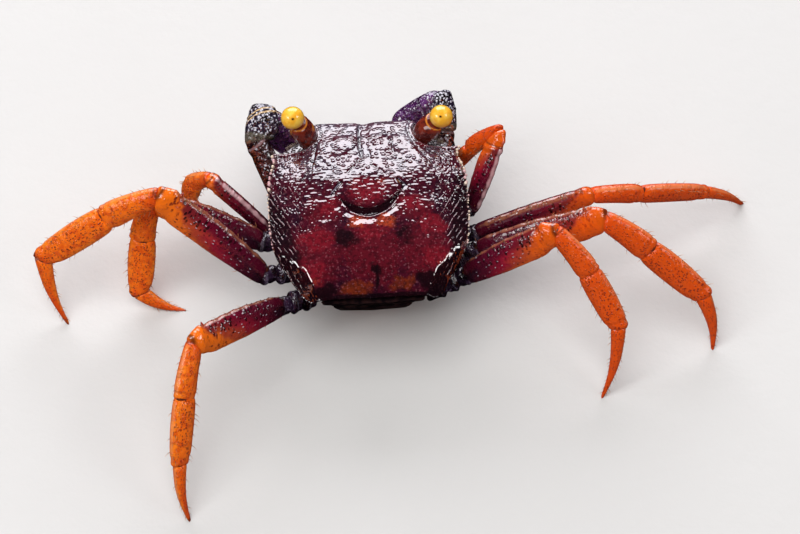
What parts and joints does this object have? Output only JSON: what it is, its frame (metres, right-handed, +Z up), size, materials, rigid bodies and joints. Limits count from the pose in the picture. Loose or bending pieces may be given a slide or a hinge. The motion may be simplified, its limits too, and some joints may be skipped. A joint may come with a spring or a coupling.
{
  "type": "vampire crab model",
  "caption": "Life-size standing model of a small purple-black land crab with orange legs and yellow eyes.",
  "frame": {"origin": "on the floor, under the middle of the whole animal's box", "axes": "+Z up from the floor, -Y the way the crab faces, +X towards the crab's own left side"},
  "size_m": [0.0664, 0.0374, 0.0146],
  "materials": {
    "shell": "glossy dark maroon with paler spots",
    "underside": "satin reddish brown",
    "dark_leg": "glossy purple-black to maroon",
    "orange_leg": "satin orange with dark speckles",
    "claw": "glossy granular purple-black",
    "pale_finger": "satin cream",
    "stalk": "glossy red-brown",
    "eye": "polished golden yellow"
  },
  "bodies": {
    "root": {"breast": "underside", "carapace": "shell", "eye_left": "eye", "eye_right": "eye", "eyestalk_left": "stalk", "eyestalk_right": "stalk", "feeler_left": "stalk", "feeler_right": "stalk", "left_claw_arm": "claw", "left_claw_finger": "pale_finger", "left_claw_palm": "claw", "left_claw_wrist": "claw", "left_leg_1_carpus": "orange_leg", "left_leg_1_dactylus": "orange_leg", "left_leg_1_hip": "claw", "left_leg_1_merus": "dark_leg", "left_leg_1_propodus": "orange_leg", "left_leg_2_carpus": "orange_leg", "left_leg_2_dactylus": "orange_leg", "left_leg_2_hip": "claw", "left_leg_2_merus": "dark_leg", "left_leg_2_propodus": "orange_leg", "left_leg_3_carpus": "orange_leg", "left_leg_3_dactylus": "orange_leg", "left_leg_3_hip": "claw", "left_leg_3_merus": "dark_leg", "left_leg_3_propodus": "orange_leg", "left_leg_4_carpus": "orange_leg", "left_leg_4_dactylus": "orange_leg", "left_leg_4_hip": "claw", "left_leg_4_merus": "dark_leg", "left_leg_4_propodus": "orange_leg", "mouthpart_left": "underside", "mouthpart_right": "underside", "right_claw_arm": "claw", "right_claw_finger": "pale_finger", "right_claw_palm": "claw", "right_claw_wrist": "claw", "right_leg_1_carpus": "orange_leg", "right_leg_1_dactylus": "orange_leg", "right_leg_1_hip": "claw", "right_leg_1_merus": "dark_leg", "right_leg_1_propodus": "orange_leg", "right_leg_2_carpus": "orange_leg", "right_leg_2_dactylus": "orange_leg", "right_leg_2_hip": "claw", "right_leg_2_merus": "dark_leg", "right_leg_2_propodus": "orange_leg", "right_leg_3_carpus": "orange_leg", "right_leg_3_dactylus": "orange_leg", "right_leg_3_hip": "claw", "right_leg_3_merus": "dark_leg", "right_leg_3_propodus": "orange_leg", "right_leg_4_carpus": "orange_leg", "right_leg_4_dactylus": "orange_leg", "right_leg_4_hip": "claw", "right_leg_4_merus": "dark_leg", "right_leg_4_propodus": "orange_leg", "tail_flap": "underside"}
  },
  "joints": []
}
